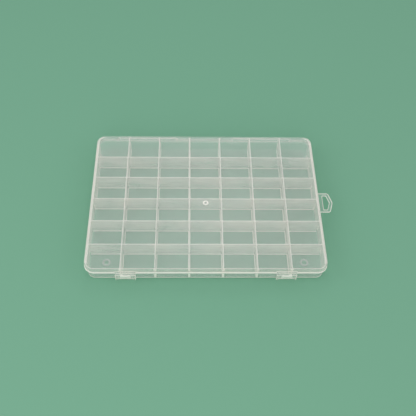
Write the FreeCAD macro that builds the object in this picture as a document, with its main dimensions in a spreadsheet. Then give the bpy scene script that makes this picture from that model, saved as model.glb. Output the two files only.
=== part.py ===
import FreeCAD, Part

import math
import os

import Sketcher

# A clear moulded storage box: a shallow tray with a grid of cells, a lid hinged along the back and two
# snap latches on the front of the lid. Sizes are in millimetres. The origin is the middle of the flat
# underside, +X runs to the right along the length, +Y to the back and +Z up.

DRIVING_SIZES = (
    ("lid_length", 280.0, "lid, skirt face to skirt face, left to right"),
    ("lid_depth", 199.0, "lid, skirt face to skirt face, front to back"),
    ("closed_height", 25.0, "underside of the tray to the top of the closed lid"),
    ("corner_radius", 11.0, "plan radius of the lid's corners"),
    ("lid_panel", 1.4, "thickness of the lid's flat top"),
    ("lid_skirt", 1.0, "thickness of the lid's skirt"),
    ("skirt_height", 9.0, "top of the lid to the skirt's lower edge"),
    ("lid_edge_radius", 2.0, "rounding along the lid's top edge"),
    ("bead_height", 1.8, "height of the bead along the skirt's lower edge"),
    ("bead_proud", 0.7, "how far the bead stands out from the skirt"),
    ("fit_gap", 0.4, "gap between the skirt and the tray's wall"),
    ("seat_gap", 0.1, "gap between the lid's panel and the tray's rim"),
    ("tray_wall", 0.9, "thickness of the tray's outer walls"),
    ("tray_floor", 1.3, "thickness of the tray's floor"),
    ("tray_edge_radius", 1.6, "rounding along the tray's bottom edge"),
    ("wall_lean", 0.4, "how far each tray wall leans in from rim to foot"),
    ("flange_gap", 0.4, "gap between the lid's bead and the tray's flange"),
    ("flange_thickness", 1.4, "thickness of the flange below the lid"),
    ("columns", 7, "cells from left to right"),
    ("rows", 6, "cells from front to back"),
    ("divider_foot", 1.2, "thickness of a divider at the floor"),
    ("divider_tip", 0.9, "thickness of a divider at its top"),
    ("divider_drop", 0.5, "divider tops below the tray's rim"),
    ("mark_inset", 22.5, "corner rings under the floor, in from the lid's faces"),
    ("mark_outer", 4.8, "outer radius of a corner ring"),
    ("mark_inner", 2.9, "inner radius of a corner ring"),
    ("mark_depth", 0.3, "depth of a corner ring"),
    ("gate_offset", 7.5, "gate ring on the lid, forward of the middle"),
    ("gate_outer", 3.5, "outer radius of the gate ring"),
    ("gate_inner", 1.5, "inner radius of the gate ring"),
    ("gate_depth", 0.3, "depth of the gate ring"),
    ("hinge_inset", 27.0, "outer end of a hinge's window, in from the end of the lid"),
    ("window_length", 76.0, "window in the back skirt, left to right"),
    ("window_height", 4.0, "window in the back skirt, above the skirt's lower edge"),
    ("hinge_reach", 3.0, "hinge axis behind the lid's back face"),
    ("bar_radius", 1.4, "radius of a hinge bar"),
    ("bar_clearance", 0.08, "running clearance round a hinge bar"),
    ("hook_wall", 1.1, "wall of a hinge hook round its bar"),
    ("hook_end_gap", 0.75, "gap from a hook's end to the window's end"),
    ("leaf_height", 1.6, "height of the hook's leaf where it meets the skirt"),
    ("lug_radius", 2.0, "radius of a lug round the end of a hinge bar"),
    ("lug_thickness", 2.2, "thickness of a lug along the bar"),
    ("lug_gap", 0.5, "gap from a hook's end to a lug"),
    ("lug_drop", 5.0, "hinge axis to the foot of a lug on the wall"),
    ("latch_inset", 35.2, "outer end of a latch, in from the end of the lid"),
    ("latch_width", 23.6, "width of a latch"),
    ("latch_end_gap", 0.3, "gap from a latch's end to the bead"),
    ("latch_foot", 4.5, "height of a latch's lower edge above the underside"),
    ("barrel_radius", 0.8, "radius of a latch's barrel"),
    ("notch_gap", 0.2, "gap from the bead's height to the top of a latch notch"),
    ("pivot_radius", 0.5, "radius of a latch's pivot pins"),
    ("pivot_length", 1.6, "length of a pivot pin"),
    ("pivot_clearance", 0.08, "running clearance round a pivot pin"),
    ("pivot_end_gap", 0.2, "gap from a pivot pin's end to the end of its hole"),
    ("flap_gap", 0.9, "gap from the lid's front face to a latch's flap"),
    ("flap_thickness", 2.2, "thickness of a latch's flap"),
    ("flap_drop", 1.9, "latch axis to the flap's shoulder"),
    ("flap_round", 0.6, "rounding of the flap's front edges"),
    ("grip_height", 3.4, "height of the grip bar at its waist"),
    ("scoop_radius", 13.0, "radius of the scoops above and below the grip bar"),
    ("scoop_depth", 1.0, "depth of the scoops"),
    ("catch_width", 14.0, "length of the catch ridge inside a latch"),
    ("catch_height", 1.6, "height of the catch ridge"),
    ("catch_drop", 0.2, "gap from the flange down to the catch ridge"),
    ("catch_gap", 0.2, "gap from the catch ridge's edge to the flange's face"),
    ("tab_root", 30.0, "width of the hanging loop at the flange"),
    ("tab_shoulder_width", 28.0, "width of the hanging loop at its shoulders"),
    ("tab_shoulder", 14.5, "shoulders of the hanging loop from the flange"),
    ("tab_tip", 18.8, "tip of the hanging loop from the flange"),
    ("tab_thickness", 1.8, "thickness of the hanging loop"),
    ("tab_round", 2.5, "rounding of the hanging loop's corners"),
    ("hole_near", 6.6, "near edge of the loop's hole from the flange"),
    ("hole_width", 20.2, "width of the loop's hole"),
    ("hole_shoulder", 11.2, "shoulders of the loop's hole from the flange"),
    ("hole_tip", 14.4, "tip of the loop's hole from the flange"),
    ("hole_round", 1.2, "rounding of the hole's corners"),
)

# Heights and places that several pieces share, worked out from the driving sizes
HALF_LENGTH = "(sizes.lid_length / 2)"
HALF_DEPTH = "(sizes.lid_depth / 2)"
LID_UNDERSIDE = "(sizes.closed_height - sizes.lid_panel)"
SKIRT_FOOT = "(sizes.closed_height - sizes.skirt_height)"
RIM = f"({LID_UNDERSIDE} - sizes.seat_gap)"
FLANGE_TOP = f"({SKIRT_FOOT} - sizes.flange_gap)"
FLANGE_FOOT = f"({FLANGE_TOP} - sizes.flange_thickness)"
DIVIDER_TOP = f"({RIM} - sizes.divider_drop)"
WALL_INSET = "(sizes.lid_skirt + sizes.fit_gap)"

HINGE_X = f"({HALF_LENGTH} - sizes.hinge_inset - sizes.window_length / 2)"
HINGE_Y = f"({HALF_DEPTH} + sizes.hinge_reach)"
HINGE_Z = f"({FLANGE_TOP} - sizes.flange_thickness / 2)"
HOOK_BORE = "(sizes.bar_radius + sizes.bar_clearance)"
HOOK_RADIUS = f"({HOOK_BORE} + sizes.hook_wall)"
HOOK_LENGTH = "(sizes.window_length - 2 * sizes.hook_end_gap)"

LATCH_X = f"({HALF_LENGTH} - sizes.latch_inset - sizes.latch_width / 2)"
PIVOT_INSET = "((sizes.lid_skirt - sizes.bead_proud) / 2)"
PIVOT_Y = f"({PIVOT_INSET} - {HALF_DEPTH})"
PIVOT_Z = f"({SKIRT_FOOT} + sizes.bead_height / 2)"

# The hook's mouth and leaf, as directions round the hinge bar in degrees above the way to the back
MOUTH_UPPER = 163
MOUTH_LOWER = 256
LEAF_OUTER = 42
LEAF_INNER = 122

SIDES = (("left", -1), ("right", 1))
# Numbers by which a sketch knows its own origin and a curve's points
ORIGIN = -1
START = 1
END = 2
CENTRE = 3
# Lengths and volumes closer than this count as equal
NEAR = 1e-4

doc = FreeCAD.newDocument("compartment_storage_tray")
sheet = doc.addObject("Spreadsheet::Sheet", "sizes")
for row, (alias, size, meaning) in enumerate(DRIVING_SIZES, start=1):
    sheet.set(f"A{row}", meaning)
    sheet.set(f"B{row}", str(size))
    sheet.setAlias(f"B{row}", alias)
doc.recompute()

nodes = []


def number(expression):
    """The value of an expression on the sheet's sizes."""
    return float(sheet.evalExpression(expression))


def new_body(name, x="0", y="0", z="0"):
    body = doc.addObject("PartDesign::Body", name)
    body.Label = name
    for axis, place in (("x", x), ("y", y), ("z", z)):
        body.setExpression(f"Placement.Base.{axis}", place)
    return body


def new_sketch(body, name, role="XY_Plane", offset="0"):
    """A sketch on one of the body's own origin planes, moved along that plane's normal."""
    sketch = body.newObject("Sketcher::SketchObject", f"{body.Name}_{name}")
    plane = next(p for p in body.Origin.OriginFeatures if p.Role == role)
    sketch.AttachmentSupport = [(plane, "")]
    sketch.MapMode = "FlatFace"
    sketch.setExpression("AttachmentOffset.Base.z", offset)
    return sketch


def tie(sketch, expression, kind, *places):
    """Adds a dimension to a sketch and binds it to an expression."""
    index = sketch.addConstraint(Sketcher.Constraint(kind, *places, number(expression)))
    sketch.setExpression(f"Constraints[{index}]", expression)


def pin(sketch, geometry, vertex, x, y):
    """Holds one point of a sketch at a place measured from the sketch's origin."""
    tie(sketch, x, "DistanceX", ORIGIN, START, geometry, vertex)
    tie(sketch, y, "DistanceY", ORIGIN, START, geometry, vertex)


def draw_circle(sketch, x, y, radius):
    centre = FreeCAD.Vector(number(x), number(y), 0)
    index = sketch.addGeometry(Part.Circle(centre, FreeCAD.Vector(0, 0, 1), number(radius)))
    pin(sketch, index, CENTRE, x, y)
    tie(sketch, radius, "Radius", index)


def draw_polygon(sketch, corners):
    """A closed outline of straight lines through corners given as pairs of expressions."""
    points = [FreeCAD.Vector(number(x), number(y), 0) for x, y in corners]
    following = points[1:] + points[:1]
    lines = [sketch.addGeometry(Part.LineSegment(a, b)) for a, b in zip(points, following)]
    for line, after in zip(lines, lines[1:] + lines[:1]):
        sketch.addConstraint(Sketcher.Constraint("Coincident", line, END, after, START))
    for line, (x, y) in zip(lines, corners):
        pin(sketch, line, START, x, y)


def draw_rectangle(sketch, x0, x1, y0, y1):
    draw_polygon(sketch, ((x0, y0), (x1, y0), (x1, y1), (x0, y1)))


def draw_rounded_rectangle(sketch, half_x, half_y, radius):
    """A rectangle about the sketch's origin with four equal rounded corners."""
    round_radius = number(radius)
    reach_x = number(half_x) - round_radius
    reach_y = number(half_y) - round_radius
    arcs = []
    for quarter, (side_x, side_y) in enumerate(((1, 1), (-1, 1), (-1, -1), (1, -1))):
        centre = FreeCAD.Vector(side_x * reach_x, side_y * reach_y, 0)
        circle = Part.Circle(centre, FreeCAD.Vector(0, 0, 1), round_radius)
        start = quarter * math.pi / 2
        arcs.append(sketch.addGeometry(Part.ArcOfCircle(circle, start, start + math.pi / 2)))
        centre_x = f"{side_x} * ({half_x} - {radius})"
        centre_y = f"{side_y} * ({half_y} - {radius})"
        pin(sketch, arcs[-1], CENTRE, centre_x, centre_y)
        tie(sketch, radius, "Radius", arcs[-1])
    for arc, after in zip(arcs, arcs[1:] + arcs[:1]):
        start = sketch.Geometry[arc].EndPoint
        end = sketch.Geometry[after].StartPoint
        line = sketch.addGeometry(Part.LineSegment(start, end))
        sketch.addConstraint(Sketcher.Constraint("Tangent", arc, END, line, START))
        sketch.addConstraint(Sketcher.Constraint("Tangent", line, END, after, START))


def extrude(kind, body, sketch, length, symmetric, backwards, taper):
    feature = body.newObject(f"PartDesign::{kind}", f"{sketch.Name}_{kind.lower()}")
    feature.Profile = sketch
    feature.SideType = "Symmetric" if symmetric else "One side"
    feature.Reversed = backwards
    feature.setExpression("Length", length)
    feature.setExpression("TaperAngle", taper)
    doc.recompute()
    return feature


def pad(body, sketch, length, symmetric=False, backwards=False, taper="0"):
    return extrude("Pad", body, sketch, length, symmetric, backwards, taper)


def pocket(body, sketch, length, symmetric=False, backwards=False, taper="0"):
    """Cuts a sketch into its body, and stops if the cut misses."""
    before = body.Shape.Volume
    feature = extrude("Pocket", body, sketch, length, symmetric, backwards, taper)
    if body.Shape.Volume > before - NEAR:
        raise RuntimeError(f"{feature.Name} cuts nothing")
    return feature


def fillet(body, name, edges, radius):
    base = body.Tip
    feature = body.newObject("PartDesign::Fillet", f"{body.Name}_{name}")
    feature.Base = (base, edges)
    feature.setExpression("Radius", radius)
    doc.recompute()
    return feature


def mirror(body, originals):
    """Repeats features of a body on the other side of its YZ plane."""
    feature = body.newObject("PartDesign::Mirrored", f"{body.Name}_mirrored")
    feature.Originals = originals
    plane = next(p for p in body.Origin.OriginFeatures if p.Role == "YZ_Plane")
    feature.MirrorPlane = (plane, [""])
    body.Tip = feature
    doc.recompute()
    return feature


def edges_where(body, test):
    """The names of the edges of a body's last feature that pass a test."""
    edges = body.Tip.Shape.Edges
    return [f"Edge{index}" for index, edge in enumerate(edges, start=1) if test(edge)]


def level_edges(body, height):
    """Edges that lie flat at a height."""
    level = number(height)
    return edges_where(
        body,
        lambda e: abs(e.BoundBox.ZMin - level) < NEAR and abs(e.BoundBox.ZMax - level) < NEAR,
    )


def upright_edges(body, corners):
    """Edges that stand upright at any of these corners in plan."""
    points = [(number(x), number(y)) for x, y in corners]

    def stands_there(edge):
        box = edge.BoundBox
        if box.XLength > NEAR or box.YLength > NEAR:
            return False
        return any(abs(box.XMin - x) + abs(box.YMin - y) < NEAR for x, y in points)

    return edges_where(body, stands_there)


def inner_half(half, height):
    """Half the tray's inside at a height, between walls that lean in towards the floor."""
    return f"({half} - {WALL_INSET} - sizes.tray_wall - sizes.wall_lean * (1 - {height} / {RIM}))"


def make_tray_shell():
    """Floor and leaning walls in one moulding, with a flange all round just below the lid."""
    body = new_body("tray_shell")
    lean_angle = f"atan(sizes.wall_lean / {RIM})"
    foot_radius = f"(sizes.corner_radius - {WALL_INSET} - sizes.wall_lean)"
    foot_x = f"({HALF_LENGTH} - {WALL_INSET} - sizes.wall_lean)"
    foot_y = f"({HALF_DEPTH} - {WALL_INSET} - sizes.wall_lean)"
    block = new_sketch(body, "foot")
    draw_rounded_rectangle(block, foot_x, foot_y, foot_radius)
    pad(body, block, RIM, taper=lean_angle)
    fillet(body, "foot_round", level_edges(body, "0"), "sizes.tray_edge_radius")

    flange = new_sketch(body, "flange", offset=FLANGE_FOOT)
    draw_rounded_rectangle(flange, HALF_LENGTH, HALF_DEPTH, "sizes.corner_radius")
    pad(body, flange, "sizes.flange_thickness")

    cavity = new_sketch(body, "cavity", offset="sizes.tray_floor")
    inner_x = inner_half(HALF_LENGTH, "sizes.tray_floor")
    inner_y = inner_half(HALF_DEPTH, "sizes.tray_floor")
    draw_rounded_rectangle(cavity, inner_x, inner_y, f"({foot_radius} - sizes.tray_wall)")
    pocket(body, cavity, f"{RIM} - sizes.tray_floor", backwards=True, taper=lean_angle)

    rings = new_sketch(body, "corner_rings")
    for _, side in SIDES:
        for end in (-1, 1):
            x = f"{side} * ({HALF_LENGTH} - sizes.mark_inset)"
            y = f"{end} * ({HALF_DEPTH} - sizes.mark_inset)"
            draw_circle(rings, x, y, "sizes.mark_outer")
            draw_circle(rings, x, y, "sizes.mark_inner")
    pocket(body, rings, "sizes.mark_depth", backwards=True)
    nodes.append(body)
    return body


def make_wedge(name, x, y, thick_along_x, half_foot, half_top):
    """An upright divider: a plate that thins towards its top and ends on the leaning walls."""
    wedge = doc.addObject("Part::Wedge", name)
    wedge.Label = name
    along, across = ("Z", "X") if thick_along_x else ("X", "Z")
    for level, half, thickness in (("", half_foot, "foot"), ("2", half_top, "tip")):
        for end, sign in (("min", "-"), ("max", "")):
            wedge.setExpression(f"{along}{level}{end}", f"{sign}{half}")
            wedge.setExpression(f"{across}{level}{end}", f"{sign}sizes.divider_{thickness} / 2")
    wedge.Ymin = 0
    wedge.setExpression("Ymax", f"{DIVIDER_TOP} - sizes.tray_floor")
    wedge.Placement = FreeCAD.Placement(
        FreeCAD.Vector(), FreeCAD.Rotation(FreeCAD.Vector(1, 0, 0), 90)
    )
    wedge.setExpression("Placement.Base.x", x)
    wedge.setExpression("Placement.Base.y", y)
    wedge.setExpression("Placement.Base.z", "sizes.tray_floor")
    return wedge


def divider_place(index, half, count):
    """Middle of one divider, with all the cells between the walls equal at the divider tops."""
    pitch = f"(2 * {inner_half(half, DIVIDER_TOP)} + sizes.divider_tip) / sizes.{count}"
    return f"({index} - sizes.{count} / 2) * {pitch}"


def make_dividers():
    """Whole dividers from front to back, and dividers between them from left to right."""
    columns = []
    for index in range(1, int(sheet.columns)):
        place = divider_place(index, HALF_LENGTH, "columns")
        half_foot = inner_half(HALF_DEPTH, "sizes.tray_floor")
        half_top = inner_half(HALF_DEPTH, DIVIDER_TOP)
        columns.append(make_wedge(f"column_divider_{index}", place, "0", True, half_foot, half_top))
    column_set = doc.addObject("Part::Compound", "column_dividers")
    column_set.Links = columns
    nodes.extend(columns)
    for index in range(1, int(sheet.rows)):
        place = divider_place(index, HALF_DEPTH, "rows")
        half_foot = inner_half(HALF_LENGTH, "sizes.tray_floor")
        half_top = inner_half(HALF_LENGTH, DIVIDER_TOP)
        plate = make_wedge(f"row_plate_{index}", "0", place, False, half_foot, half_top)
        divider = doc.addObject("Part::Cut", f"row_divider_{index}")
        divider.Label = f"row_divider_{index}"
        divider.Base = plate
        divider.Tool = column_set
        nodes.append(divider)


def make_hang_tab():
    """A flat loop on the right-hand flange, pointed like a house gable, for a peg or hook."""
    body = new_body("hang_tab", x=HALF_LENGTH, z=f"{FLANGE_TOP} - sizes.tab_thickness")
    root, shoulder, hole = "sizes.tab_root / 2", "sizes.tab_shoulder_width / 2", "sizes.hole_width / 2"
    rim = (
        ("0", f"-{root}"),
        ("sizes.tab_shoulder", f"-{shoulder}"),
        ("sizes.tab_tip", "0"),
        ("sizes.tab_shoulder", shoulder),
        ("0", root),
    )
    opening = (
        ("sizes.hole_near", f"-{hole}"),
        ("sizes.hole_shoulder", f"-{hole}"),
        ("sizes.hole_tip", "0"),
        ("sizes.hole_shoulder", hole),
        ("sizes.hole_near", hole),
    )
    plate = new_sketch(body, "outline")
    draw_polygon(plate, rim)
    pad(body, plate, "sizes.tab_thickness")
    fillet(body, "outer_round", upright_edges(body, rim[1:-1]), "sizes.tab_round")
    cut = new_sketch(body, "hole")
    draw_polygon(cut, opening)
    pocket(body, cut, "sizes.tab_thickness", backwards=True)
    fillet(body, "hole_round", upright_edges(body, opening), "sizes.hole_round")
    nodes.append(body)


def make_hinge_bar(word, side, tray_shell):
    """A round bar held off the tray's back wall by a lug at each end, under the flange."""
    body = new_body(f"{word}_hinge_bar_blank", f"{side} * {HINGE_X}", HINGE_Y, HINGE_Z)
    span = f"({HOOK_LENGTH} + 2 * sizes.lug_gap)"
    bar = new_sketch(body, "bar", "YZ_Plane")
    draw_circle(bar, "0", "0", "sizes.bar_radius")
    pad(body, bar, f"{span} + 2 * sizes.lug_thickness", symmetric=True)

    lug_offset = f"{span} / 2"
    in_the_wall = f"-(sizes.hinge_reach + {WALL_INSET} + sizes.tray_wall / 2)"
    lug = new_sketch(body, "lug", "YZ_Plane", lug_offset)
    draw_circle(lug, "0", "0", "sizes.lug_radius")
    boss = pad(body, lug, "sizes.lug_thickness")
    web = new_sketch(body, "web", "YZ_Plane", lug_offset)
    draw_polygon(
        web,
        (
            ("0", "sizes.flange_thickness / 2"),
            (in_the_wall, "sizes.flange_thickness / 2"),
            (in_the_wall, "-sizes.lug_drop"),
            ("0", "-sizes.lug_radius"),
        ),
    )
    gusset = pad(body, web, "sizes.lug_thickness")
    mirror(body, [boss, gusset])

    seated = doc.addObject("Part::Cut", f"{word}_hinge_bar")
    seated.Label = f"{word}_hinge_bar"
    seated.Base = body
    seated.Tool = tray_shell
    nodes.append(seated)


def on_hook(radius, degrees):
    """A corner at a radius and direction round the hinge bar."""
    return (f"{radius} * cos({degrees})", f"{radius} * sin({degrees})")


def make_hinge_hook(word, side):
    """A hook along the window in the lid's back skirt, wrapped round the hinge bar with an open mouth."""
    body = new_body(f"{word}_hinge_hook", f"{side} * {HINGE_X}", HINGE_Y, HINGE_Z)
    window_top = f"({SKIRT_FOOT} + sizes.window_height - {HINGE_Z})"
    ring = new_sketch(body, "ring", "YZ_Plane")
    draw_circle(ring, "0", "0", HOOK_RADIUS)
    pad(body, ring, HOOK_LENGTH, symmetric=True)
    leaf = new_sketch(body, "leaf", "YZ_Plane")
    draw_polygon(
        leaf,
        (
            ("-sizes.hinge_reach", window_top),
            ("-sizes.hinge_reach", f"{window_top} + sizes.leaf_height"),
            on_hook(HOOK_RADIUS, LEAF_OUTER),
            ("0", "0"),
            on_hook(HOOK_RADIUS, LEAF_INNER),
        ),
    )
    pad(body, leaf, HOOK_LENGTH, symmetric=True)
    bore = new_sketch(body, "bore", "YZ_Plane")
    draw_circle(bore, "0", "0", HOOK_BORE)
    pocket(body, bore, HOOK_LENGTH, symmetric=True)
    mouth = new_sketch(body, "mouth", "YZ_Plane")
    beyond = f"(2 * {HOOK_RADIUS})"
    draw_polygon(mouth, (("0", "0"), on_hook(beyond, MOUTH_UPPER), on_hook(beyond, MOUTH_LOWER)))
    pocket(body, mouth, HOOK_LENGTH, symmetric=True)
    nodes.append(body)


def make_lid_shell():
    """A shallow cap with a beaded skirt, hinge windows at the back and latch notches at the front."""
    body = new_body("lid_shell")
    block = new_sketch(body, "outline", offset=SKIRT_FOOT)
    draw_rounded_rectangle(block, HALF_LENGTH, HALF_DEPTH, "sizes.corner_radius")
    pad(body, block, "sizes.skirt_height")
    fillet(body, "top_round", level_edges(body, "sizes.closed_height"), "sizes.lid_edge_radius")

    bead = new_sketch(body, "bead", offset=SKIRT_FOOT)
    draw_rounded_rectangle(
        bead,
        f"({HALF_LENGTH} + sizes.bead_proud)",
        f"({HALF_DEPTH} + sizes.bead_proud)",
        "(sizes.corner_radius + sizes.bead_proud)",
    )
    pad(body, bead, "sizes.bead_height")

    inside = new_sketch(body, "inside", offset=SKIRT_FOOT)
    draw_rounded_rectangle(
        inside,
        f"({HALF_LENGTH} - sizes.lid_skirt)",
        f"({HALF_DEPTH} - sizes.lid_skirt)",
        "(sizes.corner_radius - sizes.lid_skirt)",
    )
    pocket(body, inside, "sizes.skirt_height - sizes.lid_panel", backwards=True)

    past_bead = f"({HALF_DEPTH} + 2 * sizes.bead_proud)"
    past_skirt = f"({HALF_DEPTH} - sizes.lid_skirt - sizes.fit_gap)"
    notch_half = "(sizes.latch_width / 2 + sizes.latch_end_gap)"
    windows = new_sketch(body, "windows", offset=SKIRT_FOOT)
    notches = new_sketch(body, "notches", offset=SKIRT_FOOT)
    for _, side in SIDES:
        hinge_x = f"{side} * {HINGE_X}"
        latch_x = f"{side} * {LATCH_X}"
        window_half = "sizes.window_length / 2"
        ends = (f"{hinge_x} - {window_half}", f"{hinge_x} + {window_half}")
        draw_rectangle(windows, *ends, past_skirt, past_bead)
        ends = (f"{latch_x} - {notch_half}", f"{latch_x} + {notch_half}")
        draw_rectangle(notches, *ends, f"-{past_bead}", f"-{past_skirt}")
    pocket(body, windows, "sizes.window_height", backwards=True)
    pocket(body, notches, "sizes.bead_height + sizes.notch_gap", backwards=True)

    hole_depth = "(sizes.pivot_length + sizes.pivot_end_gap)"
    for word, side in SIDES:
        pivot = new_sketch(body, f"{word}_pivot", "YZ_Plane", f"{side} * {LATCH_X}")
        draw_circle(pivot, PIVOT_Y, PIVOT_Z, "sizes.pivot_radius + sizes.pivot_clearance")
        pocket(body, pivot, f"sizes.latch_width + 2 * {hole_depth}", symmetric=True)

    gate = new_sketch(body, "gate", offset="sizes.closed_height")
    draw_circle(gate, "0", "-sizes.gate_offset", "sizes.gate_outer")
    draw_circle(gate, "0", "-sizes.gate_offset", "sizes.gate_inner")
    pocket(body, gate, "sizes.gate_depth")
    nodes.append(body)


def make_latch(word, side):
    """A flap hung from a barrel in the lid's bead, with a catch inside and a waisted grip bar outside."""
    body = new_body(f"{word}_latch", f"{side} * {LATCH_X}", PIVOT_Y, PIVOT_Z)
    inner = f"(sizes.flap_gap + {PIVOT_INSET})"
    outer = f"({inner} + sizes.flap_thickness)"
    foot = f"(sizes.latch_foot - {PIVOT_Z})"
    barrel = new_sketch(body, "barrel", "YZ_Plane")
    draw_circle(barrel, "0", "0", "sizes.barrel_radius")
    pad(body, barrel, "sizes.latch_width", symmetric=True)
    flap = new_sketch(body, "flap", "YZ_Plane")
    draw_polygon(
        flap,
        (
            ("0", "0"),
            (f"-{outer}", "-sizes.flap_drop"),
            (f"-{outer}", foot),
            (f"-{inner}", foot),
            (f"-{inner}", "-sizes.flap_drop"),
            ("0", "-sizes.barrel_radius"),
        ),
    )
    pad(body, flap, "sizes.latch_width", symmetric=True)
    front = -number(outer)
    front_edges = edges_where(
        body, lambda e: abs(e.BoundBox.YMin - front) < NEAR and abs(e.BoundBox.YMax - front) < NEAR
    )
    fillet(body, "front_round", front_edges, "sizes.flap_round")

    ridge_top = f"({FLANGE_FOOT} - sizes.catch_drop - {PIVOT_Z})"
    ridge_edge = f"-(sizes.catch_gap + {PIVOT_INSET})"
    catch = new_sketch(body, "catch", "YZ_Plane")
    draw_polygon(
        catch,
        (
            (f"-{inner}", ridge_top),
            (ridge_edge, f"{ridge_top} - sizes.catch_height / 4"),
            (f"-{inner}", f"{ridge_top} - sizes.catch_height"),
            (f"-({inner} + sizes.flap_thickness / 2)", f"{ridge_top} - sizes.catch_height / 2"),
        ),
    )
    pad(body, catch, "sizes.catch_width", symmetric=True)

    middle = f"(({foot} - sizes.flap_drop) / 2)"
    scoops = new_sketch(body, "scoops", "XZ_Plane", outer)
    reach = "(sizes.grip_height / 2 + sizes.scoop_radius)"
    draw_circle(scoops, "0", f"{middle} + {reach}", "sizes.scoop_radius")
    draw_circle(scoops, "0", f"{middle} - {reach}", "sizes.scoop_radius")
    pocket(body, scoops, "sizes.scoop_depth")

    pins = new_sketch(body, "pins", "YZ_Plane")
    draw_circle(pins, "0", "0", "sizes.pivot_radius")
    pad(body, pins, "sizes.latch_width + 2 * sizes.pivot_length", symmetric=True)
    nodes.append(body)


def write_parts():
    """Stops at anything that failed, and writes one file for each piece."""
    doc.recompute()
    for item in doc.Objects:
        if {"Invalid", "Error"} & set(item.State):
            raise RuntimeError(f"{item.Name} failed: {item.State}")
    for node in nodes:
        if node.Shape.isNull() or not node.Shape.isValid() or not node.Shape.Solids:
            raise RuntimeError(f"{node.Label} has no valid solid")
    os.makedirs("parts", exist_ok=True)
    for node in nodes:
        node.Shape.exportStep(os.path.join("parts", f"{node.Label}.step"))
        box = node.Shape.BoundBox
        print(
            f"{node.Label}: {len(node.Shape.Solids)} solid(s), {node.Shape.Volume:.1f} mm3, "
            f"x {box.XMin:.2f} to {box.XMax:.2f}, y {box.YMin:.2f} to {box.YMax:.2f}, "
            f"z {box.ZMin:.2f} to {box.ZMax:.2f}"
        )


shell = make_tray_shell()
make_dividers()
make_hang_tab()
for side_word, side_sign in SIDES:
    make_hinge_bar(side_word, side_sign, shell)
make_lid_shell()
for side_word, side_sign in SIDES:
    make_hinge_hook(side_word, side_sign)
    make_latch(side_word, side_sign)
write_parts()
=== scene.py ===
# %% [markdown]
# # A clear storage box with forty-two cells
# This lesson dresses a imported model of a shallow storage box: a tray with a fixed grid, a lid hinged along the
# back, two snap latches in front and a loop to hang it by. The box is moulded in natural polypropylene, which is
# clear but a little milky, so edges glow white and every wall lays a thin veil over what is behind it.
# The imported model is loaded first. It is the fixed frame: nothing in it is moved, and each new piece is built at
# the same place, in metres.

# %% Load the frame
import math

import bmesh
import bpy
from mathutils import Matrix, Vector


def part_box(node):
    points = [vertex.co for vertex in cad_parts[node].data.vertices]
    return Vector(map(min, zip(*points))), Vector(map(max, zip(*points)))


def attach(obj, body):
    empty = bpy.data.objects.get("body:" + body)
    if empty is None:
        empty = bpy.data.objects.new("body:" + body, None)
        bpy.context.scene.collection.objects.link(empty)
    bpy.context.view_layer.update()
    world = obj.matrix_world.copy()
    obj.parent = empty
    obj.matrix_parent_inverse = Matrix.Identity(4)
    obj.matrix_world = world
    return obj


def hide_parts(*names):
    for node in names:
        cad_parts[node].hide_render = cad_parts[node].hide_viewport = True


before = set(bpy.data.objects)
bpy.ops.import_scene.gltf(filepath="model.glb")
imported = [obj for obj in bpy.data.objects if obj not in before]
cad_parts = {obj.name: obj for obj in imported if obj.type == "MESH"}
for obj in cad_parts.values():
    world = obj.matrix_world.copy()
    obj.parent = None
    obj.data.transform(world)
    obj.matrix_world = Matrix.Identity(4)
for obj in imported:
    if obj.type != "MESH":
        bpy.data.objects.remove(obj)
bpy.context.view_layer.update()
MM = 0.001

# %% [markdown]
# ## The camera
# A picture's viewing angle can be found by matching edges whose true sizes are known. The divider tops and feet
# and the lid's outline gave the numbers below: how far the camera looks down, how it is turned and tilted, where
# it stands, and its focal length in pixels. Three axes are worked out from the angles and put into the camera's
# matrix, which is plainer than juggling rotation orders.

# %% Camera
FRAME_WIDTH_PX = 416
FOCAL_PX = 621.35
SENSOR_MM = 36.0
LOOK_DOWN = math.radians(55.621)
TURN = math.radians(2.990)
TILT = math.radians(-2.638)
EYE = Vector((-0.01939, -0.44032, 0.64723))
NEAREST_SEEN = 10 * MM

ahead = Vector((
    math.sin(TURN) * math.cos(LOOK_DOWN),
    math.cos(TURN) * math.cos(LOOK_DOWN),
    -math.sin(LOOK_DOWN),
))
level_right = Vector((math.cos(TURN), -math.sin(TURN), 0))
level_down = ahead.cross(level_right)
right = math.cos(TILT) * level_right + math.sin(TILT) * level_down
down = math.cos(TILT) * level_down - math.sin(TILT) * level_right

bpy.ops.object.camera_add()
camera = bpy.context.object
camera.matrix_world = Matrix.Translation(EYE) @ Matrix((right, -down, -ahead)).transposed().to_4x4()
camera.data.sensor_width = SENSOR_MM
camera.data.lens = FOCAL_PX / FRAME_WIDTH_PX * SENSOR_MM
camera.data.clip_start = NEAREST_SEEN
bpy.context.scene.camera = camera
print("camera: lens", round(camera.data.lens, 2), "mm")

# %% [markdown]
# ## The floor
# A clear box takes on the colour of what it lies on. It shows best on a plain floor that is pale, but a little
# darker than the glowing edges. A large plane with a dull green paint does that; it lies a hair below the foot, so
# that the two faces don't fight for the same place. A ray passes many thin faces on its way through this box, so
# the number of see-through faces that it may cross is raised.

# %% Floor
FLOOR_COLOUR = (0.19, 0.415, 0.285, 1)
FLOOR_ROUGHNESS = 0.9
FLOOR_SHINE = 0.1
FLOOR_SIZE = 6
FLOOR_DROP = 0.4 * MM
SEE_THROUGH_FACES = 96

scene = bpy.context.scene
scene.view_settings.view_transform = "Standard"
scene.cycles.transparent_max_bounces = SEE_THROUGH_FACES

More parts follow.
